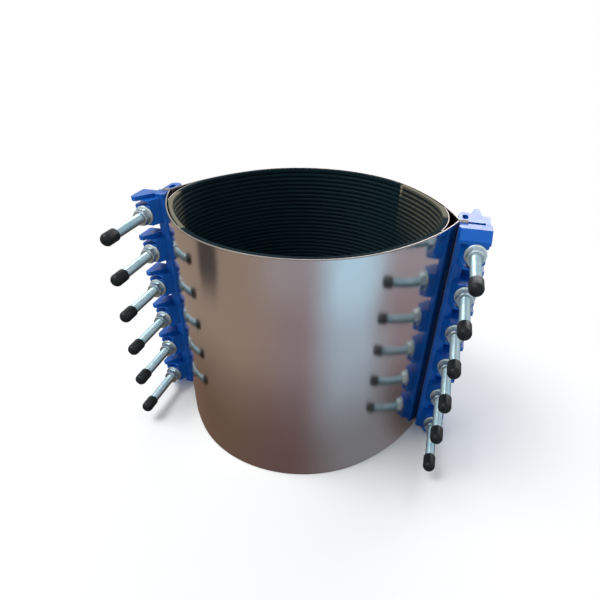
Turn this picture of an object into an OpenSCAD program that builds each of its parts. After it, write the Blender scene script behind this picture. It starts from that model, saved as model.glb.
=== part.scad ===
// Pipe repair clamp with two stainless half shells, ribbed rubber lining and cast bolt lugs.
// +Z runs along the pipe, X runs through the two rows of lugs, and the nuts face -Y.
// The origin lies on the pipe's axis, in the plane of the band's lower rim.

/* [Pipe and band] */
// Outside diameter of the pipe that the lining closes on
pipe_d = 300; // [280:1:330]
// Length of the band along the pipe
band_l = 300; // [290:1:340]
// Thickness of the stainless shells
shell_t = 1.5; // [1:0.1:2.5]
// Thickness of the rubber lining
gasket_t = 6; // [5:0.5:9]
// Angle from the X axis at which a shell leaves the circle and flares out to its lug
flare_a = 43.5; // [40:0.5:47]
// Lean of the flare's end from the direction in which the halves close
lean_a = 18; // [15:0.5:22]
// Width of the lip that each shell folds outward behind its lug
lip_w = 10; // [6:1:14]
// Gap between the two shells' lips where the halves meet
split_gap = 3; // [2:0.5:6]

/* [Lining laps] */
// Angle about the flare's centre at which the lining leaves the shell to cross the split
side_a = 32; // [30:0.5:34]
// Angle from the X axis past which the two linings lap, on the other half
lap_a = 44.5; // [44:0.5:48]
// Length of the lap
lap_l = 9; // [6:0.5:14]
// Thickness of the lining's inner layer in the lap
lap_t = 3; // [2:0.5:4]
// Thickness of the stainless plates that bridge the split
bridge_t = 1; // [0.8:0.1:1.5]
// Thickness of the glue between a tongue and its bridge plate
glue_t = 0.1; // [0.05:0.05:0.3]
// Angle that a bridge plate covers to each side of the split, about its own centre
bridge_a = 19; // [14:1:20]

/* [Grooves in the lining] */
// Number of main grooves round the lining's inner face
grooves = 26; // [20:1:30]
// Width of a groove
groove_w = 3; // [2:0.5:4]
// Depth of a groove
groove_d = 1; // [0.5:0.1:1.5]

/* [Bolts] */
// Number of bolts in each row
bolts = 6; // [2:1:6]
// Distance from a rim to the nearest bolt's axis
row_end = 25; // [24:1:30]
// Bolt diameter
bolt_d = 12; // [10:1:12]
// Length of a bolt under its head
bolt_l = 150; // [140:1:170]
// Width of a bolt's head across its flats
head_af = 18; // [16:1:19]
// Height of a bolt's head
head_h = 7.5; // [6:0.5:9]
// Distance from the end of the shell's flare to the bolts' axes
bolt_out = 22.5; // [21:0.5:24]

/* [Nuts, washers and caps] */
// Width of a nut across its flats
nut_af = 18; // [16:1:19]
// Height of a nut
nut_h = 10; // [8:0.5:12]
// Diameter of a washer
washer_d = 24; // [22:1:26]
// Thickness of a washer
washer_t = 2.5; // [2:0.5:3]
// Diameter of the rubber cap on a bolt's end
cap_d = 15; // [14:0.5:17]
// Length of a cap
cap_l = 22; // [18:1:28]
// Thickness of a cap's closed end
cap_end = 2.5; // [1.5:0.5:4]

/* [Lugs] */
// Distance from the split to the washers' seats
seat_y = 31; // [28:1:36]
// Distance from the split to the bolt heads' seats
head_y = 33; // [30:1:38]
// Distance by which the lugs end short of the band's rims
lug_inset = 2; // [1:0.5:4]
// Distance from the split to the front of the nut lugs' spine
spine_y = 17; // [15:1:20]
// Distance from the split to the end of the bolt lugs' spine
loop_y = 34; // [31:1:36]
// Width of the spine that joins a lug's arms
spine_w = 12.5; // [12:0.5:14]
// Distance from a bolt's axis to the outer end of the lugs' arms
arm_out = 12.5; // [11:0.5:14]
// Distance from a bolt's axis to the plain side of its arm
arm_side = 12.5; // [11:0.5:14]
// Distance from a bolt's axis to the outer face of its hood or rib
hood_side = 23; // [21:0.5:23]
// Thickness of the hoods over the washers
hood_t = 5.5; // [5:0.5:7]
// Distance by which a hood reaches past the washers' seats
hood_out = 4; // [3:0.5:6]
// Width of the seats beside the bolts' axes, towards the band
seat_w = 9; // [7:0.5:10]
// Distance from the split to the tips of the ribs behind the bolt lugs
rib_y = 50; // [44:1:54]
// Thickness of the ribs
rib_t = 9; // [7:0.5:10]
// Width of a rib's tip
rib_tip = 6; // [5:0.5:8]
// Width of the lifting eyes in the ends of the bolt lugs
eye_w = 6.5; // [5:0.5:7]
// Length of the lifting eyes
eye_l = 14; // [10:1:16]
// Depth of the lifting eyes
eye_depth = 16; // [10:1:22]

/* [Fits] */
// Clearance round a bolt in a nut and in a cap
thread_gap = 0.05; // [0.02:0.01:0.1]
// Clearance round a bolt in a washer and in a bolt lug
hole_gap = 0.5; // [0.3:0.1:1]
// Gap between pieces that meet but move apart
seat_gap = 0.3; // [0.2:0.1:0.5]

/* [Hidden] */
$fn = 64;
cut = 1;
sides = ["left", "right"];
kinds = ["bolt", "washer", "nut", "cap"];

// Radii of the layers, from the pipe outward
lining_r = pipe_d / 2;
shell_ri = lining_r + gasket_t;
shell_ro = shell_ri + shell_t;

// Steps that keep the faces of joined arcs apart, and how far one arc is rooted in the next
root_step = 0.05;
root_l = 2;
function turn(len, r) = len / r * 180 / PI;

// Number of sides drawn to a full turn of the band
band_fn = 180;

// Flare of the shell: radius of its outer face and distance of its centre behind the pipe's axis
lip_y = split_gap / 2 + shell_t;
flare_r = (shell_ro * sin(flare_a) - lip_y) / (sin(flare_a) - sin(lean_a));
flare_c = flare_r - shell_ro;
flare_x = -flare_c * cos(flare_a);
flare_y = flare_c * sin(flare_a);
flange_x = flare_x + flare_r * cos(lean_a);

// Arc on which the lining crosses the split: its centre on the X axis and its inner radius
side_x = flare_x + flare_y / tan(side_a);
side_r = flare_r - shell_t - gasket_t - flare_y / sin(side_a);

// Turn about the pipe's axis that the lap covers, and where the lap on the left begins
lap_turn = turn(lap_l, lining_r);
lap_start_a = lap_a + turn(seat_gap, lining_r) - 180;

// Places of the bolts
bolt_x = flange_x + bolt_out;
bolt_pitch = (band_l - 2 * row_end) / (bolts - 1);
function bolt_z(k) = band_l - row_end - (k - 1) * bolt_pitch;

// Lug outlines in plan, and the cut of their corners, which is also how far blocks overlap
spine_x = flange_x + shell_t;
arm_end_x = bolt_x + arm_out;
corner = 2;
lug_z = band_l - lug_inset;

// Height of a bolt's slot, its middle and the hood's inner face, measured from the bolt's axis
hood_z = hood_side - hood_t;
slot_w = hood_z + bolt_d / 2 + hole_gap;
slot_z = hood_z - slot_w / 2;

// Copies a right-hand piece to the left by half a turn about the Y axis at mid-height
module turned_left() {
    translate([0, 0, band_l]) rotate([0, 180, 0]) children();
}

// Copies a front piece to the back by half a turn about the pipe's axis
module turned_back() {
    rotate([0, 0, 180]) children();
}

// Flat ring sector between two radii, from angle a0 through span degrees
module arc(ri, ro, a0, span) {
    steps = 4;
    reach = (ro + cut) / cos(span / steps / 2);
    intersection() {
        difference() {
            circle(ro, $fn = band_fn);
            circle(ri, $fn = band_fn);
        }
        polygon([
            [0, 0],
            for (a = [0:steps]) reach * [cos(a0 + a * span / steps), sin(a0 + a * span / steps)]]);
    }
}

// Flat outline between two points with round ends
module capsule(a, b, r) {
    run = b - a;
    translate(a) circle(r);
    translate(b) circle(r);
    translate(a) rotate(atan2(run.y, run.x)) translate([0, -r]) square([norm(run), 2 * r]);
}

// Flat ring sector of the right flare, from angle a0 down to a1 about the flare's centre
module flare_arc(ri, ro, a0, a1) {
    translate([flare_x, flare_y]) arc(ri, ro, -a0, a0 - a1);
}

// Lip that the front shell folds outward at its right end, rooted a little way into the flare
module lip_outline() {
    outward = [cos(lean_a), -sin(lean_a)];
    along = [sin(lean_a), cos(lean_a)];
    outer = [flange_x, -lip_y];
    inner = outer - shell_t * outward;
    polygon([
        inner + 2 * root_step * outward - root_l * along,
        outer - 2 * root_step * outward - root_l * along,
        outer,
        [flange_x + lip_w, -lip_y],
        [flange_x + lip_w, -split_gap / 2],
        inner + (-split_gap / 2 - inner.y) / along.y * along]);
}

module shell_end() {
    flare_arc(flare_r - shell_t + root_step, flare_r - root_step, flare_a + turn(root_l, flare_r), lean_a);
    lip_outline();
}

module half_shell() {
    color("silver") linear_extrude(band_l) {
        arc(shell_ri, shell_ro, flare_a - 180, 180 - 2 * flare_a);
        shell_end();
        mirror([1, 0]) shell_end();
    }
}

// Layer of the front lining between two depths from its inner face: against its shell, round the
// right split and on to the end of the lap on the other half, where it is thinner by gap
module lining_layer(d0, d1, gap) {
    flare_ri = flare_r - shell_t - gasket_t;
    rooted = turn(root_l, flare_r);
    arc(lining_r + d0, lining_r + d1, lap_start_a, -flare_a - lap_start_a);
    flare_arc(flare_ri + d0 + root_step, flare_ri + d1 - root_step, flare_a + rooted, side_a - rooted);
    translate([side_x, 0]) arc(side_r + d0, side_r + d1 - gap, -side_a, 2 * side_a);
    mirror([0, 1]) flare_arc(
        flare_ri + d0 + root_step, flare_ri + d1 - gap - root_step, flare_a + rooted, side_a - rooted);
    arc(lining_r + d0, lining_r + d1 - gap, flare_a, lap_a + lap_turn - flare_a);
}

module half_gasket() {
    color([0.05, 0.07, 0.07]) difference() {
        linear_extrude(band_l) difference() {
            lining_layer(0, gasket_t, seat_gap);
            // Room for the other half's inner layer, and the outer layer that ends before this one
            arc(lining_r - cut, lining_r + lap_t + seat_gap, lap_start_a - cut, lap_turn + cut);
            arc(lining_r + lap_t, shell_ri + cut, lap_a, lap_turn + cut);
        }
        for (k = [0:grooves - 1]) translate([0, 0, (k + 0.5) * band_l / grooves - groove_w / 2])
            linear_extrude(groove_w) lining_layer(-cut, groove_d, 0);
    }
}

module bridge_plate() {
    inner = side_r + gasket_t - seat_gap + glue_t;
    color("gainsboro") translate([side_x, 0]) linear_extrude(band_l)
        arc(inner, inner + bridge_t, -bridge_a, 2 * bridge_a);
}

// Spine of the nut lug in plan, along the band's flare
module nut_spine() {
    end_x = spine_x + spine_w;
    polygon([
        [spine_x, -lip_y], [spine_x - corner / 2, -spine_y + corner], [spine_x + corner / 2, -spine_y],
        [end_x - corner, -spine_y], [end_x, -spine_y + corner], [end_x, -lip_y]]);
}

// Block of one arm of the nut lug in plan, with a slope from the spine to the washer's seat
module nut_block() {
    seat_x = bolt_x - seat_w;
    polygon([
        [spine_x + corner, -lip_y], [spine_x + corner, -spine_y + corner],
        [seat_x - spine_y / 2, -spine_y + corner], [seat_x, -seat_y],
        [arm_end_x - corner, -seat_y], [arm_end_x, -seat_y + corner], [arm_end_x, -lip_y]]);
}

// Hood below a washer in plan, which slopes forward past the seat
module hood_outline() {
    tip_x = arm_end_x + corner / 2;
    tip_y = -seat_y - hood_out;
    polygon([
        [spine_x + corner, -lip_y], [spine_x + corner, -spine_y + 3 * corner],
        [bolt_x - seat_w, -spine_y + 2 * corner], [arm_end_x - 3 * corner, tip_y],
        [arm_end_x - corner, tip_y], [tip_x, tip_y + corner], [tip_x, -lip_y - corner],
        [tip_x - corner, -lip_y]]);
}

// Slot that is open outward, with the bolt near its end
module bolt_slot() {
    translate([0, cut, -slot_z]) rotate([90, 0, 0]) linear_extrude(seat_y + hood_out + 2 * cut)
        capsule([bolt_x, 0], [bolt_x + slot_w, 0], slot_w / 2);
}

// Plate that closes the nut lug's plain end, sloping forward to the last seat
module end_plate() {
    low = bolt_z(1) + arm_side - corner;
    start_x = spine_x + corner / 2;
    translate([start_x, 0, 0]) rotate([90, 0, 90]) linear_extrude(arm_end_x + corner / 2 - start_x) polygon([
        [-lip_y, low], [-seat_y, low], [-seat_y, low + 2 * corner], [-spine_y - corner / 2, lug_z],
        [-lip_y, lug_z]]);
}

module nut_lug() {
    color([0.02, 0.25, 0.7]) difference() {
        union() {
            translate([0, 0, lug_inset]) linear_extrude(band_l - 2 * lug_inset) nut_spine();
            for (k = [1:bolts]) translate([0, 0, bolt_z(k)]) {
                translate([0, 0, -hood_z - cut]) linear_extrude(hood_z + cut + arm_side) nut_block();
                translate([0, 0, -hood_side]) linear_extrude(hood_t) hood_outline();
            }
            children();
        }
        for (k = [1:bolts]) translate([0, 0, bolt_z(k)]) bolt_slot();
    }
}

// Spine of the bolt lug in plan, with its corners cut at the far end
module bolt_spine() {
    end_x = spine_x + spine_w;
    far = 2 * corner;
    polygon([
        [spine_x, -lip_y], [spine_x - corner, -lip_y - far], [spine_x - corner, -loop_y + far],
        [spine_x + corner, -loop_y], [end_x - far, -loop_y], [end_x, -loop_y + far], [end_x, -lip_y]]);
}

// Rib behind a bolt's head in plan
module rib_outline() {
    start_x = spine_x + spine_w - corner;
    polygon([
        [start_x, -lip_y], [arm_end_x - rib_tip, -lip_y], [bolt_x, -rib_y], [bolt_x - rib_tip, -rib_y],
        [start_x, -head_y + rib_tip]]);
}

// One arm of the bolt lug at height 0: block that takes the bolt's head and a rib behind it
module bolt_arm() {
    start_x = spine_x + spine_w - corner;
    translate([start_x, -head_y, -hood_side + corner])
        cube([arm_end_x - start_x, head_y - lip_y, hood_side - corner + arm_side]);
    translate([0, 0, -hood_side]) linear_extrude(rib_t) rib_outline();
}

module bolt_lug() {
    eye_x = spine_x + (spine_w - corner) / 2;
    eye_y = -(lip_y + loop_y) / 2;
    eye_run = (eye_l - eye_w) / 2;
    color([0.02, 0.25, 0.7]) difference() {
        union() {
            translate([0, 0, lug_inset]) linear_extrude(band_l - 2 * lug_inset) bolt_spine();
            for (k = [1:bolts]) translate([0, 0, bolt_z(k)]) bolt_arm();
        }
        for (k = [1:bolts]) translate([bolt_x, cut, bolt_z(k)]) rotate([90, 0, 0])
            cylinder(r = bolt_d / 2 + hole_gap, h = head_y + 2 * cut);
        for (z = [-cut, band_l - eye_depth]) translate([0, 0, z]) linear_extrude(eye_depth + cut)
            capsule([eye_x, eye_y - eye_run], [eye_x, eye_y + eye_run], eye_w / 2);
    }
}

// Pieces on a bolt's axis, drawn along -Y from the split plane
module on_axis(side, k, y) {
    translate([(side == "left" ? -1 : 1) * bolt_x, y, bolt_z(k)]) rotate([90, 0, 0]) children();
}

module bolt(side, k) {
    color([0.75, 0.8, 0.85]) on_axis(side, k, head_y + seat_gap / 3) {
        translate([0, 0, -head_h]) cylinder(d = head_af / cos(30), h = head_h, $fn = 6);
        translate([0, 0, -cut]) cylinder(d = bolt_d, h = bolt_l + cut);
    }
}

module washer(side, k) {
    color("gainsboro") on_axis(side, k, -seat_y) difference() {
        cylinder(d = washer_d, h = washer_t);
        translate([0, 0, -cut]) cylinder(r = bolt_d / 2 + hole_gap, h = washer_t + 2 * cut);
    }
}

module nut(side, k) {
    bevel_r = nut_af / 2 + 1.5;
    bevel_h = 1;
    color("lightsteelblue") on_axis(side, k, -seat_y - washer_t - seat_gap) difference() {
        intersection() {
            cylinder(d = nut_af / cos(30), h = nut_h, $fn = 6);
            rotate_extrude() polygon([
                [0, 0], [nut_af / 2, 0], [bevel_r, bevel_h], [bevel_r, nut_h - bevel_h], [nut_af / 2, nut_h],
                [0, nut_h]]);
        }
        translate([0, 0, -cut]) cylinder(r = bolt_d / 2 + thread_gap, h = nut_h + 2 * cut);
    }
}

module cap(side, k) {
    cap_r = cap_d / 2;
    color([0.08, 0.08, 0.09]) on_axis(side, k, head_y - bolt_l - cap_end + cap_l) difference() {
        rotate_extrude() polygon([
            [0, 0], [cap_r, 0], [cap_r, cap_l - 4], [cap_r - 2, cap_l - 1], [cap_r - 4, cap_l], [0, cap_l]]);
        translate([0, 0, -cut]) cylinder(r = bolt_d / 2 + thread_gap, h = cap_l - cap_end + cut);
    }
}

half_shell();  // front_shell
turned_back() half_shell();  // back_shell
half_gasket();  // front_gasket
turned_back() half_gasket();  // back_gasket
bridge_plate();  // right_bridge_plate
turned_back() bridge_plate();  // left_bridge_plate
nut_lug() end_plate();  // right_nut_lug
turned_left() nut_lug();  // left_nut_lug
turned_back() bolt_lug();  // left_bolt_lug
turned_left() turned_back() bolt_lug();  // right_bolt_lug
for (side = sides) for (k = [1:bolts]) {
    bolt(side, k);
    washer(side, k);
    nut(side, k);
    cap(side, k);
}
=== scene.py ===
import math
import bmesh
import bpy
from mathutils import Matrix, Vector


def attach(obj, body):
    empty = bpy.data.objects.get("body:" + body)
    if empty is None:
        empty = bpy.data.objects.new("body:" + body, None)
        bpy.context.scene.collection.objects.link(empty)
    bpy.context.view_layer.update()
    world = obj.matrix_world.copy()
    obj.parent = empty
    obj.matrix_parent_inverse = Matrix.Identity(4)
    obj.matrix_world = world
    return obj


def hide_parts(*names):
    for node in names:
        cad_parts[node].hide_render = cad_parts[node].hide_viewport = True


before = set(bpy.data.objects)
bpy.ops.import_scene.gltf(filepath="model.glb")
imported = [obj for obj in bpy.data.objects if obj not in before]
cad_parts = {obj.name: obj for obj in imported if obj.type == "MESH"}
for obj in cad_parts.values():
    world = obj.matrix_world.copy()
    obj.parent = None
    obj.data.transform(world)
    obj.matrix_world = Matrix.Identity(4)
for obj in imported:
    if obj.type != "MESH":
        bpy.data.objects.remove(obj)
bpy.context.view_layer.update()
print("frame loaded with", len(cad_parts), "pieces")

mm = 0.001
scene = bpy.context.scene

# Sizes that several pieces share, in mm and degrees. The solids have them too, with fewer grooves.
clamp = {
    "liningR": 150.0, "shellIn": 156.0, "shellOut": 157.5, "bandLength": 300.0, "splitGap": 3.0,
    "seatGap": 0.3, "flareTurn": 43.5, "leanTurn": 18.0, "sideTurn": 32.0, "rowEnd": 25.0, "boltOut": 22.5,
    "boltCount": 6, "grooves": 51, "lapAt": 44.5, "lapLong": 9.0,
}


def sine(degrees):
    return math.sin(math.radians(degrees))


def cosine(degrees):
    return math.cos(math.radians(degrees))


# Flare of the shells: radius of its outer face, its centre on the right of the front half, and its end
halfSplit = clamp["splitGap"] / 2
sheet = clamp["shellOut"] - clamp["shellIn"]
flareR = ((clamp["shellOut"] * sine(clamp["flareTurn"]) - halfSplit - sheet)
          / (sine(clamp["flareTurn"]) - sine(clamp["leanTurn"])))
flareAway = flareR - clamp["shellOut"]
flareCentre = Vector((-flareAway * cosine(clamp["flareTurn"]), flareAway * sine(clamp["flareTurn"])))
flangeX = flareCentre.x + flareR * cosine(clamp["leanTurn"])
boltX = flangeX + clamp["boltOut"]

# Arc on which the lining crosses the split, pitch of its grooves and turn over which it laps
sideCentre = Vector((flareCentre.x + flareCentre.y / math.tan(math.radians(clamp["sideTurn"])), 0.0))
sideR = flareR - clamp["shellOut"] + clamp["liningR"] - flareCentre.y / sine(clamp["sideTurn"])
groovePitch = clamp["bandLength"] / (clamp["grooves"] + 1)
lapTurn = math.degrees(clamp["lapLong"] / clamp["liningR"])


def boltZ(k):
    pitch = (clamp["bandLength"] - 2 * clamp["rowEnd"]) / (clamp["boltCount"] - 1)
    return clamp["bandLength"] - clamp["rowEnd"] - (k - 1) * pitch


def arcLine(centre, radius, start, end, step):  # points and outward normals along an arc, in plan
    count = max(1, round(abs(end - start) / step))
    line = []
    for i in range(count + 1):
        turn = start + (end - start) * i / count
        out = Vector((cosine(turn), sine(turn)))
        line.append((centre + radius * out, out))
    return line


class Val:  # one socket, so that shader maths reads as plain Python
    def __init__(self, socket):
        self.socket = socket
        self.tree = socket.id_data

    def maths(self, operation, first, second):
        node = self.tree.nodes.new("ShaderNodeMath")
        node.operation = operation
        feed(node.inputs[0], first)
        feed(node.inputs[1], second)
        return Val(node.outputs[0])

    def __add__(self, other):
        return self.maths("ADD", self, other)

    def __radd__(self, other):
        return self.maths("ADD", other, self)

    def __sub__(self, other):
        return self.maths("SUBTRACT", self, other)

    def __rsub__(self, other):
        return self.maths("SUBTRACT", other, self)

    def __mul__(self, other):
        return self.maths("MULTIPLY", self, other)

    def __rmul__(self, other):
        return self.maths("MULTIPLY", other, self)

    def __truediv__(self, other):
        return self.maths("DIVIDE", self, other)

    def __rtruediv__(self, other):
        return self.maths("DIVIDE", other, self)

    def __pow__(self, other):
        return self.maths("POWER", self, other)

    def __rpow__(self, other):
        return self.maths("POWER", other, self)

    def __abs__(self):
        return self.maths("ABSOLUTE", self, 0.0)

    def fraction(self):
        return self.maths("FRACT", self, 0.0)

    def orMore(self, other):
        return self.maths("MAXIMUM", self, other)

    def turnOver(self, x):  # angle of the point (x, self) round the origin, in radians
        return self.maths("ARCTAN2", self, x)


def feed(socket, value):
    if isinstance(value, Val):
        socket.id_data.links.new(value.socket, socket)
    elif hasattr(value, "__len__") and len(value) == 3 and len(getattr(socket, "default_value", ())) == 4:
        socket.default_value = (*value, 1.0)
    else:
        socket.default_value = value


class Finish:  # a material or the world, with one method that adds any node
    def __init__(self, owner):
        owner.use_nodes = True
        self.owner = owner
        self.tree = owner.node_tree
        self.tree.nodes.clear()

    def add(self, kind, settings=None, values=None, out=0):
        node = self.tree.nodes.new(kind)
        for key, setting in (settings or {}).items():
            setattr(node, key, setting)
        for key, value in (values or {}).items():
            feed(node.inputs[key], value)
        if isinstance(out, tuple):
            return [Val(node.outputs[name]) for name in out]
        return Val(node.outputs[out]) if len(node.outputs) else None

    def place(self):
        return self.add("ShaderNodeTexCoord", out="Object")

    def axes(self):  # x, y and z of the place on the surface, in metres
        return self.add("ShaderNodeSeparateXYZ", None, {0: self.place()}, ("X", "Y", "Z"))

    def rays(self):  # 1 for camera rays, for glossy rays and for rays that pass through
        return self.add("ShaderNodeLightPath", out=("Is Camera Ray", "Is Glossy Ray", "Is Transmission Ray"))

    def stretched(self, scale):
        values = {"Vector": self.place(), "Scale": scale}
        return self.add("ShaderNodeMapping", {"vector_type": "POINT"}, values)

    def noise(self, scale, detail=3.0, rough=0.5, vector=None):
        values = {"Vector": vector or self.place(), "Scale": scale, "Detail": detail, "Roughness": rough}
        return self.add("ShaderNodeTexNoise", {"noise_dimensions": "3D"}, values)

    def span(self, value, low, high, start, end, kind="LINEAR"):
        values = {"Value": value, "From Min": low, "From Max": high, "To Min": start, "To Max": end}
        return self.add("ShaderNodeMapRange", {"clamp": True, "interpolation_type": kind}, values)

    def blend(self, factor, first, second, kind="MIX"):  # sockets 6 and 7 in and 2 out are the colours
        settings = {"data_type": "RGBA", "blend_type": kind}
        return self.add("ShaderNodeMix", settings, {0: factor, 6: first, 7: second}, 2)

    def bump(self, height, strength, distance, normal=None):
        values = {"Height": height, "Strength": strength, "Distance": distance}
        if normal:
            values["Normal"] = normal
        return self.add("ShaderNodeBump", None, values)

    def shade(self, values):
        surface = self.add("ShaderNodeBsdfPrincipled", None, values)
        self.add("ShaderNodeOutputMaterial", None, {"Surface": surface})
        return self.owner


def makePiece(name, bm, material, body, *nodes, slot=None, sharp=35.0):
    bmesh.ops.recalc_face_normals(bm, faces=bm.faces)
    mesh = bpy.data.meshes.new(name)
    bm.to_mesh(mesh)
    bm.free()
    mesh.transform(Matrix.Scale(mm, 4))
    mesh.shade_smooth()
    mesh.set_sharp_from_angle(angle=math.radians(sharp))
    piece = bpy.data.objects.new(name, mesh)
    scene.collection.objects.link(piece)
    mesh.materials.append(material)
    if body:
        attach(piece, body)
    if nodes:
        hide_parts(*nodes)
    return piece


def loft(loops, closed=False, bm=None):  # skin over loops of points that all have the same count
    bm = bmesh.new() if bm is None else bm
    rings = [[bm.verts.new(point) for point in loop] for loop in loops]
    pairs = list(zip(rings, rings[1:]))
    if closed:
        pairs.append((rings[-1], rings[0]))
    for here, there in pairs:
        for i in range(len(here)):
            j = (i + 1) % len(here)
            bm.faces.new((here[i], here[j], there[j], there[i]))
    if not closed:
        bm.faces.new(rings[0])
        bm.faces.new(rings[-1])
    return bm


def turnedBack(points):  # the same points on the other half
    return [(-x, -y, z) for x, y, z in points]


# Finishes. Lengths are in metres; a scale is a noise's count of lumps in a metre.
top = clamp["bandLength"] * mm
steel = {
    "colour": (0.70, 0.69, 0.68), "clouded": (0.60, 0.585, 0.575), "edge": (0.27, 0.24, 0.215),
    "rough": 0.125, "edgeRough": 0.25, "cutFrom": 0.0015, "cutTo": 0.0004, "wave": 0.0009, "waveScale": 11.0,
    "cloudScale": 14.0, "smearScale": 30.0, "scratchScale": 60.0, "scratchStretch": 22.0, "scratch": 0.0002,
}


def steelFinish():
    mat = Finish(bpy.data.materials.new("polishedSteel"))
    z = mat.axes()[2]
    cloud = mat.noise(steel["cloudScale"], 3.0, 0.55)
    scratch = mat.noise(steel["scratchScale"], 4.0, 0.7, mat.stretched((1.0, 1.0, steel["scratchStretch"])))
    smear = mat.noise(steel["smearScale"], 5.0, 0.6)
    cutFrom, cutTo = steel["cutFrom"], steel["cutTo"]
    rim = mat.span(z, top - cutFrom, top - cutTo, 0.0, 1.0) + mat.span(z, cutFrom, cutTo, 0.0, 1.0)
    tone = mat.blend(mat.span(cloud, 0.3, 0.7, 0.0, 0.16), steel["colour"], steel["clouded"])
    tone = mat.blend(rim, tone, steel["edge"])
    rough = steel["rough"] + mat.span(smear, 0.5, 0.75, 0.0, 0.05) + mat.span(scratch, 0.5, 0.7, 0.0, 0.03)
    low = mat.bump(mat.noise(steel["waveScale"], 1.0, 0.4), 1.0, steel["wave"])
    return mat.shade({"Base Color": tone, "Metallic": 1.0, "Roughness": rough + rim * steel["edgeRough"],
                      "Normal": mat.bump(scratch, 0.04, steel["scratch"], low)})


rubber = {
    "colour": (0.004, 0.013, 0.018), "dustAndHighlight": (0.012, 0.036, 0.048), "tongue": (0.125, 0.118, 0.080),
    "endHighlight": (0.42, 0.38, 0.27), "cutFrom": 0.0016, "cutTo": 0.0006, "cutHighlight": 0.4, "cutRough": 0.35,
    "tongueHighlightFrom": 0.235, "tongueHighlightTo": 0.31, "endHighlightLong": 0.010, "endHighlightFrom": 0.282, "rough": 0.46,
    "patchScale": 18.0, "bloomScale": 160.0, "grainScale": 900.0, "grain": 0.0002,
}


def rubberFinish():
    mat = Finish(bpy.data.materials.new("blackRubber"))
    grain = mat.noise(rubber["grainScale"], 3.0, 0.6)
    patch = mat.noise(rubber["patchScale"], 4.0, 0.6)
    bloom = mat.noise(rubber["bloomScale"], 4.0, 0.65)
    x, y, z = mat.axes()
    half = (y.turnOver(x) / math.pi + 1.0).fraction()  # 0 to 1 from one split to the other, in both halves
    end = (clamp["lapAt"] + lapTurn) / 180.0
    tongue = mat.span(half, 0.0, 0.02, 0.0, 1.0) * mat.span(half, end - 0.0003, end + 0.0003, 1.0, 0.0)
    # painted highlight on the upper side of each groove's crest
    crestHighlight = mat.span(abs((z / (groovePitch * mm)).fraction() - 0.6), 0.08, 0.24, 1.0, 0.0)
    cutTop = mat.span(z, top - rubber["cutFrom"], top - rubber["cutTo"], 0.0, 1.0)
    # painted highlight on the tongue's groove crests, brighter towards the top, in the tongue colour
    tongueHighlight = tongue * mat.span(z + (end - half) * 0.35, rubber["tongueHighlightFrom"], rubber["tongueHighlightTo"], 0.0, 1.0)
    tongueHighlight = tongueHighlight * mat.span(bloom, 0.3, 0.6, 0.6, 1.0) * (0.12 + crestHighlight * 0.88) * (1 - cutTop)
    # painted highlight at the tongue's end, strongest near the top, and along the tongue's cut top
    endHighlight = tongue * mat.span(half, end - rubber["endHighlightLong"], end - 0.4 * rubber["endHighlightLong"], 0.0, 1.0)
    endHighlight = endHighlight * mat.span(z, rubber["endHighlightFrom"], top - 0.001, 0.0, 0.8) * (1 - cutTop)
    endHighlight = endHighlight + tongue * cutTop * rubber["cutHighlight"]
    # dust in patches, together with the painted crest highlight
    dustAndCrestHighlight = mat.span(patch, 0.42, 0.72, 0.0, 0.55) * mat.span(bloom, 0.4, 0.7, 0.3, 1.0)
    dustAndCrestHighlight = dustAndCrestHighlight.orMore(crestHighlight * 0.5) * (1 - cutTop)
    tone = mat.blend(tongueHighlight, mat.blend(dustAndCrestHighlight, rubber["colour"], rubber["dustAndHighlight"]), rubber["tongue"])
    rough = rubber["rough"] + mat.span(patch, 0.3, 0.7, 0.0, 0.16) + cutTop * rubber["cutRough"]
    return mat.shade({"Base Color": mat.blend(endHighlight, tone, rubber["endHighlight"]), "Roughness": rough,
                      "Specular IOR Level": 0.045, "Normal": mat.bump(grain, 0.25, rubber["grain"])})


paint = {
    "colour": (0.0, 0.105, 0.47), "deep": (0.0, 0.062, 0.31), "chalk": (0.01, 0.17, 0.54), "rough": 0.24,
    "coat": 0.08, "patchScale": 34.0, "rubScale": 260.0, "castScale": 120.0, "cast": 0.0009,
    "peelScale": 620.0, "peel": 0.0002,
}


def paintFinish():
    mat = Finish(bpy.data.materials.new("blueEpoxy"))
    patch = mat.noise(paint["patchScale"], 4.0, 0.6)
    rub = mat.noise(paint["rubScale"], 4.0, 0.7)
    tone = mat.blend(mat.span(patch, 0.35, 0.7, 0.0, 0.7), paint["colour"], paint["deep"])
    tone = mat.blend(mat.span(rub, 0.62, 0.8, 0.0, 0.35), tone, paint["chalk"])
    relief = mat.bump(mat.noise(paint["castScale"], 3.0, 0.55), 0.35, paint["cast"])
    peel = mat.bump(mat.noise(paint["peelScale"], 2.0, 0.5), 0.22, paint["peel"], relief)
    return mat.shade({"Base Color": tone, "Roughness": paint["rough"] + mat.span(patch, 0.3, 0.7, 0.0, 0.14),
                      "Coat Weight": paint["coat"], "Coat Roughness": 0.12, "Specular IOR Level": 0.22,
                      "Normal": peel})


# The bolts' zinc is darker than the nuts' zinc as painted shade.
shadedBoltZinc = {"colour": (0.38, 0.49, 0.54), "blue": (0.25, 0.42, 0.50), "warm": (0.46, 0.47, 0.40)}
nutZinc = {"colour": (0.60, 0.67, 0.68), "blue": (0.42, 0.55, 0.60), "warm": (0.70, 0.62, 0.40)}
plating = {"rough": 0.30, "sheenScale": 70.0, "stainScale": 150.0, "grainScale": 1500.0, "grain": 0.0001}


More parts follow.
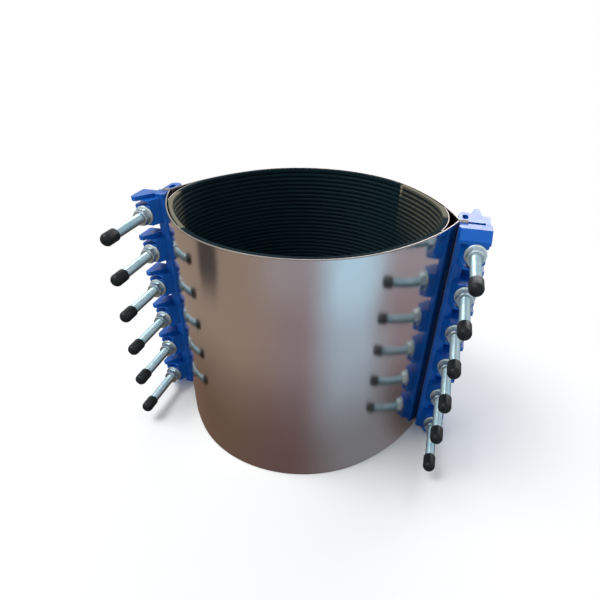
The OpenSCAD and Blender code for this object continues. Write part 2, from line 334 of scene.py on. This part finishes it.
def zincFinish(name, zinc):
    mat = Finish(bpy.data.materials.new(name))
    sheen = mat.noise(plating["sheenScale"], 3.0, 0.6)
    stain = mat.noise(plating["stainScale"], 4.0, 0.65)
    grain = mat.noise(plating["grainScale"], 2.0, 0.6)
    tone = mat.blend(mat.span(sheen, 0.38, 0.62, 0.0, 0.8), zinc["colour"], zinc["blue"])
    tone = mat.blend(mat.span(stain, 0.56, 0.74, 0.0, 0.6), tone, zinc["warm"])
    rough = plating["rough"] + mat.span(stain, 0.4, 0.7, 0.0, 0.14)
    return mat.shade({"Base Color": tone, "Metallic": 1.0, "Roughness": rough,
                      "Normal": mat.bump(grain, 0.12, plating["grain"])})


capRubber = {
    "colour": (0.006, 0.009, 0.010), "scuff": (0.028, 0.040, 0.042), "rough": 0.34, "scuffScale": 240.0,
    "grainScale": 1100.0, "grain": 0.0001,
}


def capFinish():
    mat = Finish(bpy.data.materials.new("capRubber"))
    grain = mat.noise(capRubber["grainScale"], 2.0, 0.6)
    scuff = mat.noise(capRubber["scuffScale"], 5.0, 0.7)
    tone = mat.blend(mat.span(scuff, 0.56, 0.78, 0.0, 0.6), capRubber["colour"], capRubber["scuff"])
    rough = capRubber["rough"] + mat.span(scuff, 0.4, 0.7, 0.0, 0.2)
    return mat.shade({"Base Color": tone, "Roughness": rough, "Specular IOR Level": 0.2,
                      "Normal": mat.bump(grain, 0.15, capRubber["grain"])})


steelMat, rubberMat, paintMat, capMat = steelFinish(), rubberFinish(), paintFinish(), capFinish()
shadedBoltMat, nutMat = zincFinish("shadedBoltZinc", shadedBoltZinc), zincFinish("nutZinc", nutZinc)
print("finishes made")


# Half shells: one sheet from lip to lip, with a rounded bend before each lip
shell = {"bend": 1.7, "edge": 0.25, "soften": 0.3, "hold": 1.2, "inset": 0.05, "step": 1.0, "bendSteps": 7,
         "lip": 10.0}


def shellPath():  # middle line of the sheet in plan with outward normals, from the left lip to the right one
    half = sheet / 2
    lean = clamp["leanTurn"]
    lipY = -(halfSplit + half)
    along = Vector((sine(lean), cosine(lean)))
    out = Vector((cosine(lean), -sine(lean)))
    flareEnd = flareCentre + (flareR - half) * out
    corner = flareEnd + along * ((lipY - flareEnd.y) / along.y)
    bendStart = corner - along * shell["bend"] * math.tan(math.radians((90.0 - lean) / 2))
    centre = bendStart + shell["bend"] * out
    stop = lean + math.degrees((flareEnd - bendStart).length / flareR)
    right = arcLine(flareCentre, flareR - half, -clamp["flareTurn"], -stop, shell["step"])[1:-1]
    for i in range(shell["bendSteps"] + 1):
        turn = -lean - (90.0 - lean) * i / shell["bendSteps"]
        out = Vector((cosine(turn), sine(turn)))
        right.append((centre - shell["bend"] * out, out))
    right.append((Vector((flangeX + shell["lip"], lipY)), Vector((0.0, -1.0))))
    left = [(Vector((-p.x, p.y)), Vector((-n.x, n.y))) for p, n in reversed(right)]
    middle = arcLine(Vector((0.0, 0.0)), clamp["shellOut"] - half, clamp["flareTurn"] - 180.0,
                     -clamp["flareTurn"], shell["step"])
    return left + middle + right


def shellLoops():  # section of the sheet, with rounded edges, at each point of the path
    low, high = -sheet / 2, sheet / 2 - shell["inset"]
    rim, e, hold = clamp["bandLength"], shell["edge"], shell["hold"]
    soft = e * shell["soften"]
    profile = [
        (low, e), (low, hold), (low, rim - hold), (low, rim - e), (low + soft, rim - soft), (low + e, rim),
        (high - e, rim), (high - soft, rim - soft), (high, rim - e), (high, rim - hold), (high, hold),
        (high, e), (high - soft, soft), (high - e, 0), (low + e, 0), (low + soft, soft),
    ]
    return [[(*(p + n * off), z) for off, z in profile] for p, n in shellPath()]


shellSkin = shellLoops()
shellBack = [turnedBack(loop) for loop in shellSkin]
makePiece("frontBand", loft(shellSkin), steelMat, "front_half", "front_shell", slot="shell", sharp=50.0)
makePiece("backBand", loft(shellBack), steelMat, "back_half", "back_shell", slot="shell", sharp=50.0)
print("bands made")


# Linings: grooved rubber that crosses one split each and laps the other half's lining
lining = {
    "thick": 6.0, "tongueThick": 4.0, "lapThick": 3.0, "grooveDepth": 1.1, "plateTurn": 20.0, "thinTurn": 1.0,
    "step": 1.5, "join": 0.02, "rimSoft": 0.5, "edgeSoft": 0.15,
    "groove": ((-0.28, 0.0), (-0.17, 0.5), (-0.08, 1.0), (0.08, 1.0), (0.17, 0.5), (0.28, 0.0)),
}


def groovedLine():  # height of each point up the lining's inner face, and its depth from 0 to 1
    return [((i + off) * groovePitch, deep) for i in range(1, clamp["grooves"] + 1)
            for off, deep in lining["groove"]]


def liningWall():  # plan points of the inner face, outward normals, offsets of the inner and outer face
    axis, step, thick, join = Vector((0.0, 0.0)), lining["step"], lining["thick"], lining["join"]
    flare, side, lapAt = clamp["flareTurn"], clamp["sideTurn"], clamp["lapAt"]
    inner, flareIn = clamp["liningR"], flareR - clamp["shellOut"] + clamp["liningR"]
    start = lapAt + math.degrees(clamp["seatGap"] / inner) - 180.0
    farCentre = Vector((flareCentre.x, -flareCentre.y))
    free, plate, thin = thick - clamp["seatGap"], lining["plateTurn"], lining["tongueThick"]
    runs = [
        (arcLine(axis, inner, start, start + lapTurn, step), lining["lapThick"] + clamp["seatGap"], thick),
        (arcLine(axis, inner, start + lapTurn + join, -flare - join, step), 0.0, thick),
        (arcLine(flareCentre, flareIn, -flare, -side - join, step), 0.0, thick),
        (arcLine(sideCentre, sideR, -side, plate, step), 0.0, free),
        (arcLine(sideCentre, sideR, side - lining["thinTurn"], side, step), 0.0, thin),
        (arcLine(farCentre, flareIn, side + join, flare - join, step), 0.0, thin),
        (arcLine(axis, inner, flare, lapAt, step), 0.0, thin),
        (arcLine(axis, inner, lapAt + join, lapAt + lapTurn, step), 0.0, lining["lapThick"]),
    ]
    return [(p, n, low, high) for run, low, high in runs for p, n in run]


def liningLoops():
    rim, soft, edge = clamp["bandLength"], lining["rimSoft"], lining["edgeSoft"]
    grooved = groovedLine()
    loops = []
    for p, n, low, high in liningWall():
        depth = lining["grooveDepth"] if low == 0.0 else 0.0
        line = [(low + soft, 0.0), (low, soft)]
        line += [(low + depth * deep, z) for z, deep in grooved]
        line += [(low, rim - soft), (low + soft, rim), (high - edge, rim), (high, rim - edge), (high, edge),
                 (high - edge, 0.0)]
        loops.append([(*(p + n * off), z) for off, z in line])
    return loops


liningSkin = liningLoops()
liningBack = [turnedBack(loop) for loop in liningSkin]
makePiece("frontLining", loft(liningSkin), rubberMat, "front_half", "front_gasket", slot="lining", sharp=28.0)
makePiece("backLining", loft(liningBack), rubberMat, "back_half", "back_gasket", slot="lining", sharp=28.0)
print("linings made")


# Bridge plates: thin sheets glued to the lining where it crosses a split
bridge = {"thick": 1.0, "glue": 0.1, "turn": 19.0, "step": 1.0, "edge": 0.2, "hold": 1.0}


def bridgeLoops():
    rim, e, hold = clamp["bandLength"], bridge["edge"], bridge["hold"]
    low = lining["thick"] - clamp["seatGap"] + bridge["glue"]
    high = low + bridge["thick"]
    line = [(low, e), (low, hold), (low, rim - hold), (low, rim - e), (low + e, rim), (high - e, rim),
            (high, rim - e), (high, rim - hold), (high, hold), (high, e), (high - e, 0), (low + e, 0)]
    return [[(*(p + n * off), z) for off, z in line]
            for p, n in arcLine(sideCentre, sideR, -bridge["turn"], bridge["turn"], bridge["step"])]


rightPlate = bridgeLoops()
leftPlate = [turnedBack(loop) for loop in rightPlate]
makePiece("rightBridge", loft(rightPlate), steelMat, "front_half", "right_bridge_plate", slot="bridge",
          sharp=50.0)
makePiece("leftBridge", loft(leftPlate), steelMat, "back_half", "left_bridge_plate", slot="bridge",
          sharp=50.0)
print("bridge plates made")


# Cast lugs: the solids with rounded casting edges
lug = {"round": 0.0011, "segments": 3, "edgeTurn": 28.0, "flatTurn": 1.2, "weld": 0.00001}
for name in ("left_nut_lug", "right_nut_lug", "left_bolt_lug", "right_bolt_lug"):
    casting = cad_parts[name]
    casting.data.materials.clear()
    casting.data.materials.append(paintMat)
    weld = casting.modifiers.new("weld", "WELD")
    weld.merge_threshold = lug["weld"]
    plain = casting.modifiers.new("flats", "DECIMATE")
    plain.decimate_type = "DISSOLVE"
    plain.angle_limit = math.radians(lug["flatTurn"])
    soft = casting.modifiers.new("castEdges", "BEVEL")
    soft.width = lug["round"]
    soft.segments = lug["segments"]
    soft.limit_method = "ANGLE"
    soft.angle_limit = math.radians(lug["edgeTurn"])
    soft.miter_outer = "MITER_ARC"
    soft.harden_normals = False
    casting.data.shade_smooth()
    level = casting.modifiers.new("evenShade", "WEIGHTED_NORMAL")
    level.keep_sharp = False


# Bars of the nut lugs between bolt and hood, and cheeks beside the bolts, which carry the washers there.
# Their outlines are in plan, x outwards and y forwards: over for the bars, beside for the cheeks.
bar = {
    "from": 7.0, "to": 12.0, "cheek": 5.0, "overlap": 1.0, "seat": 31.0, "inner": 9.0, "armOut": 12.5,
    "foot": 3.5, "back": 3.0, "spineFront": 15.0, "corner": 2.0, "soft": 1.0, "segments": 3,
}


def barsMesh(side):
    bm = bmesh.new()
    end, seat, back, corner = boltX + bar["armOut"], bar["seat"], bar["back"], bar["corner"]
    foot, front = flangeX + bar["foot"], bar["spineFront"]
    inner, clear = boltX - bar["inner"], boltX - bar["from"]
    root = ((foot, back), (foot, front), (inner - front / 2, front), (inner, seat))
    over = root + ((end - corner, seat), (end, seat - corner), (end, back))
    beside = root + ((clear, seat), (clear, back))
    for k in range(1, clamp["boltCount"] + 1):
        for plan, low, high in ((over, bar["from"], bar["to"]),
                                (beside, -bar["cheek"], bar["from"] + bar["overlap"])):
            loft([[(side * x, -y, boltZ(k) - side * z) for x, y in plan] for z in (low, high)], bm=bm)
    bmesh.ops.bevel(bm, geom=bm.edges[:], offset=bar["soft"], segments=bar["segments"], profile=0.5,
                    affect="EDGES")
    return bm


for name, side in (("leftSeatBars", -1), ("rightSeatBars", 1)):
    makePiece(name, barsMesh(side), paintMat, "front_half", slot="lug", sharp=40.0)
print("lugs dressed")


def spin(profile, x, z, y, around):  # turned piece: profile is (radius, distance along -Y), as a closed ring
    loops = []
    for i in range(around):
        a = 2 * math.pi * i / around
        loops.append([(x + r * math.cos(a), y - d, z + r * math.sin(a)) for r, d in profile])
    return loft(loops, closed=True)


def hexRadius(a, flats):  # from its axis to the side of a hexagon in direction a
    return flats / 2 / math.cos(a % (math.pi / 3) - math.pi / 6)


bolt = {
    "radius": 6.0, "length": 150.0, "seat": 33.1, "around": 24,
    "head": 18.0, "headHigh": 7.5, "face": 0.96, "chamfer": 27.0, "under": 0.4, "soft": 0.3,
    "threadStart": 62.0, "threadDepth": 0.9, "pitch": 1.75, "perTurn": 6, "crestPower": 0.7,
    "runOut": 2.0, "tipBack": 1.0, "tipIn": 0.8,
}


def boltMesh(x, z):  # hexagon head, plain shank, rolled thread and chamfered tip
    around, radius, length, head = bolt["around"], bolt["radius"], bolt["length"], -bolt["headHigh"]
    angles = [2 * math.pi * i / around for i in range(around)]
    loops = []

    def ring(radii, along):  # each is a number, or a list with a number for each point of the ring
        radii = radii if isinstance(radii, list) else [radii] * around
        along = along if isinstance(along, list) else [along] * around
        loops.append([(x + r * math.cos(a), bolt["seat"] - d, z + r * math.sin(a))
                      for a, r, d in zip(angles, radii, along)])

    flat = [hexRadius(a, bolt["head"]) for a in angles]
    face = bolt["head"] / 2 * bolt["face"]
    ring(face / 2, head)
    ring(face, head)
    ring(flat, [head + (r - face) * math.tan(math.radians(bolt["chamfer"])) for r in flat])
    ring(flat, -bolt["under"])
    ring([r - bolt["soft"] for r in flat], 0.0)
    ring(radius + bolt["soft"], 0.0)
    ring(radius, bolt["soft"])
    ring(radius, bolt["threadStart"] - bolt["runOut"])
    steps = int((length - bolt["threadStart"] - bolt["runOut"]) / bolt["pitch"] * bolt["perTurn"])
    for s in range(steps + 1):
        d = bolt["threadStart"] + s * bolt["pitch"] / bolt["perTurn"]
        depth = bolt["threadDepth"] * min(1.0, s / bolt["perTurn"])
        waves = [0.5 + 0.5 * math.cos(2 * math.pi * (d / bolt["pitch"] - i / around)) for i in range(around)]
        ring([radius - depth * (1 - wave ** bolt["crestPower"]) for wave in waves], d)
    root = radius - bolt["threadDepth"]
    ring(root, length - bolt["tipBack"])
    ring(root - bolt["tipIn"], length)
    return loft(loops)


nut = {"flats": 18.0, "high": 10.0, "bore": 5.45, "seat": -33.8, "face": 0.97, "chamfer": 27.0, "edge": 0.02,
       "soft": 0.5, "around": 96}


def nutMesh(x, z):  # chamfered hexagon with a bore
    bore, soft, high, face = nut["bore"], nut["soft"], nut["high"], nut["flats"] / 2 * nut["face"]
    loops = []
    for i in range(nut["around"]):
        a = 2 * math.pi * i / nut["around"]
        r = hexRadius(a, nut["flats"])
        drop = (r - face) * math.tan(math.radians(nut["chamfer"])) + nut["edge"]
        ring = [(bore, soft), (bore + soft, 0.0), (face, 0.0), (r, drop), (r, high - drop), (face, high),
                (bore + soft, high), (bore, high - soft)]
        loops.append([(x + rr * math.cos(a), nut["seat"] - d, z + rr * math.sin(a)) for rr, d in ring])
    return loft(loops, closed=True)


washer = {"outer": 12.0, "hole": 6.5, "thick": 2.5, "seat": -31.0, "soft": 0.35, "around": 64}


def washerRing():
    hole, rim, thick, soft = washer["hole"], washer["outer"], washer["thick"], washer["soft"]
    return [(hole, soft), (hole + soft, 0), (rim - soft, 0), (rim, soft), (rim, thick - soft),
            (rim - soft, thick), (hole + soft, thick), (hole, thick - soft)]


cap = {"outer": 7.5, "long": 22.0, "bore": 6.05, "floor": 19.5, "open": -97.5, "lip": 0.4, "nub": 2.1,
       "pinhole": 0.05, "around": 48}


def capRing():  # bore with its lip, straight side, domed end and its nub, round a pinhole on the axis
    bore, outer, end, lip = cap["bore"], cap["outer"], cap["long"], cap["lip"]
    return [(bore, lip), (bore + lip, 0), (outer - 0.5, 0), (outer - 0.1, lip), (outer, 1.4),
            (outer, end - 5.5), (outer - 0.5, end - 3.6), (outer - 1.5, end - 1.9), (outer - 2.9, end - 0.8),
            (outer - 4.4, end - 0.3), (cap["nub"] + 0.3, end - 0.2), (cap["nub"], end), (cap["pinhole"], end),
            (cap["pinhole"], cap["floor"]), (bore, cap["floor"])]


for side, sign in (("left", -1), ("right", 1)):
    for k in range(1, clamp["boltCount"] + 1):
        x, z = sign * boltX, boltZ(k)
        tag = f"_{side}_{k}"
        makePiece("bolt" + tag, boltMesh(x, z), shadedBoltMat, "back_half", f"{side}_bolt_{k}", slot="bolt",
                  sharp=40.0)
        makePiece("nut" + tag, nutMesh(x, z), nutMat, f"{side}_nut_{k}_body", f"{side}_nut_{k}", slot="nut",
                  sharp=25.0)
        makePiece("washer" + tag, spin(washerRing(), x, z, washer["seat"], washer["around"]), nutMat,
                  "front_half", f"{side}_washer_{k}", slot="washer", sharp=50.0)
        makePiece("cap" + tag, spin(capRing(), x, z, cap["open"], cap["around"]), capMat, "back_half",
                  f"{side}_cap_{k}", slot="cap", sharp=40.0)
print("fasteners made")


# Floor: plain and pale, white to the camera away from the clamp's shadow. To glossy rays it glows with a
# painted
# reflection of a workshop floor: brown, mauve in front, pale with distance, with painted shade close to the
# clamp, a painted daylight highlight and a painted dark strip.
# Each Turn gives where a patch starts, is full, fades and ends, as a share of the way round the clamp, and
# each Away two distances from its axis in metres with the patch's strength at them.
ground = {
    "size": 8.0, "drop": 0.0004, "colour": (0.9, 0.9, 0.9), "shadeTo": 0.24, "whiteFrom": 0.62,
    "brown": (0.36, 0.27, 0.215), "mauve": (0.312, 0.238, 0.256), "mauveTurn": (0.16, 0.29, 0.55, 0.80),
    "haze": (0.48, 0.46, 0.50), "hazeTurn": (0.16, 0.24, 0.60, 0.80), "hazeAway": (0.5, 0.75, 0.0, 0.45),
    "paintedDaylight": (0.58, 0.82, 1.0), "paintedDaylightTurn": (0.285, 0.375, 0.410, 0.51),
    "paintedDaylightAway": (0.46, 0.7, 0.55, 1.0), "close": (0.50, 0.41, 0.37), "closeAway": (0.19, 0.45, 1.0, 0.0),
    "dark": (0.05, 0.045, 0.045), "shadeTurn": (0.43, 0.49, 0.54, 0.62), "shadeAway": (0.2, 0.36, 0.8, 0.0),
    "darkStripTurn": (0.030, 0.050, 0.085, 0.105), "darkStripAway": (0.5, 0.7, 0.0, 0.9),
    "blurScale": 2.5, "turnBlur": 0.05, "awayBlur": 0.1,
}


def floorFinish():
    mat = Finish(bpy.data.materials.new("paleFloor"))
    x, y = mat.axes()[:2]
    blur = mat.noise(ground["blurScale"], 2.0, 0.5) - 0.5
    away = (x * x + y * y) ** 0.5
    turn = y.turnOver(x) / (2 * math.pi) + 0.5 + blur * ground["turnBlur"]

    def eased(value, limits):
        return mat.span(value, *limits, "SMOOTHSTEP")

    def patch(limits):  # 1 between two directions round the clamp, with soft edges
        start, full, fade, end = limits
        return eased(turn, (start, full, 0.0, 1.0)) * eased(turn, (fade, end, 1.0, 0.0))

    # tone: the colours of the painted reflection that glossy rays see
    tone = mat.blend(patch(ground["mauveTurn"]), ground["brown"], ground["mauve"])
    tone = mat.blend(patch(ground["hazeTurn"]) * eased(away, ground["hazeAway"]), tone, ground["haze"])
    # painted highlight: a patch of daylight in the painted reflection
    paintedHighlight = patch(ground["paintedDaylightTurn"]) * eased(away, ground["paintedDaylightAway"])
    tone = mat.blend(paintedHighlight, tone, ground["paintedDaylight"])
    # painted shade: the painted reflection darkens close to the clamp
    paintedCloseShadeMask = eased(away + blur * ground["awayBlur"], ground["closeAway"])
    tone = mat.blend(paintedCloseShadeMask, tone, ground["close"], "MULTIPLY")
    # painted shade in one direction and a painted dark strip in the painted reflection
    tone = mat.blend(patch(ground["shadeTurn"]) * eased(away, ground["shadeAway"]), tone, ground["dark"])
    tone = mat.blend(patch(ground["darkStripTurn"]) * eased(away, ground["darkStripAway"]), tone, ground["dark"])
    isCamera, isGlossy, isThrough = mat.rays()
    white = mat.span(away, ground["shadeTo"], ground["whiteFrom"], 0.0, 1.0)
    matt = mat.add("ShaderNodeBsdfDiffuse", None, {"Color": ground["colour"]})
    # glossy rays see the painted reflection as an emission; camera rays far from the clamp see plain white
    paintedReflectionGlow = mat.add("ShaderNodeEmission", None, {
        "Color": mat.blend(isGlossy, (1.0, 1.0, 1.0), tone), "Strength": 1.0})
    surface = mat.add("ShaderNodeMixShader", None, {
        0: white * (isCamera + isThrough) + isGlossy, 1: matt, 2: paintedReflectionGlow})
    mat.add("ShaderNodeOutputMaterial", None, {"Surface": surface})
    return mat.owner


bm = bmesh.new()
bmesh.ops.create_grid(bm, x_segments=1, y_segments=1, size=ground["size"] / mm / 2)
floor = makePiece("floor", bm, floorFinish(), None)
floor.location.z = -ground["drop"]

# Room: white to camera, glossy and transmission rays, and a soft sky to the light on the clamp
sky = {"diffuse": (0.90, 0.95, 1.0), "strength": 0.62}
scene.world = bpy.data.worlds.new("paleRoom")
room = Finish(scene.world)
isCamera, isGlossy, isThrough = room.rays()
white = room.add("ShaderNodeBackground", None, {"Color": (1.0, 1.0, 1.0), "Strength": 1.0})
soft = room.add("ShaderNodeBackground", None, {"Color": sky["diffuse"], "Strength": sky["strength"]})
both = room.add("ShaderNodeMixShader", None, {0: isCamera + isGlossy + isThrough, 1: soft, 2: white})
room.add("ShaderNodeOutputWorld", None, {"Surface": both})

softboxes = {
    "keyLight": {"place": (-1.1, -0.55, 2.1), "aim": (0.0, 0.0, 0.15), "size": (1.4, 1.0), "power": 36.0,
                 "colour": (1.0, 0.99, 0.97)},
    "backLight": {"place": (0.3, 2.3, 1.25), "aim": (0.0, 0.0, 0.25), "size": (2.2, 1.0), "power": 34.0,
                  "colour": (0.97, 0.95, 1.0)},
}
for name, box in softboxes.items():
    light = bpy.data.lights.new(name, "AREA")
    light.shape = "RECTANGLE"
    light.size, light.size_y = box["size"]
    light.energy = box["power"]
    light.color = box["colour"]
    lamp = bpy.data.objects.new(name, light)
    lamp.visible_camera = False
    scene.collection.objects.link(lamp)
    lamp.location = box["place"]
    lamp.rotation_euler = (Vector(box["aim"]) - Vector(box["place"])).to_track_quat("-Z", "Y").to_euler()

# Camera at the photograph's viewing angle; its focal length and the height of its axis are in pixels
lens = {"place": (0.1447, -0.5501, 0.4859), "yaw": 15.02, "down": 38.02, "roll": 1.02, "focalPx": 474.9,
        "framePx": 600.0, "axisY": 375.6, "sensor": 36.0, "nearest": 0.01}
yaw, down, roll = (math.radians(lens[key]) for key in ("yaw", "down", "roll"))
ahead = Vector((-math.sin(yaw) * math.cos(down), math.cos(yaw) * math.cos(down), -math.sin(down)))
level = Vector((math.cos(yaw), math.sin(yaw), 0.0))
rise = level.cross(ahead)
right = level * math.cos(roll) + rise * math.sin(roll)
up = right.cross(ahead)
eye = bpy.data.cameras.new("photoCamera")
eye.sensor_width = lens["sensor"]
eye.lens = lens["focalPx"] * lens["sensor"] / lens["framePx"]
eye.shift_y = (lens["axisY"] - lens["framePx"] / 2) / lens["framePx"]
eye.clip_start = lens["nearest"]
camera = bpy.data.objects.new("photoCamera", eye)
scene.collection.objects.link(camera)
camera.matrix_world = Matrix.Translation(lens["place"]) @ Matrix((right, up, -ahead)).transposed().to_4x4()
scene.camera = camera
scene.view_settings.view_transform = "Standard"
print("stage, light and camera made")

bpy.context.view_layer.update()
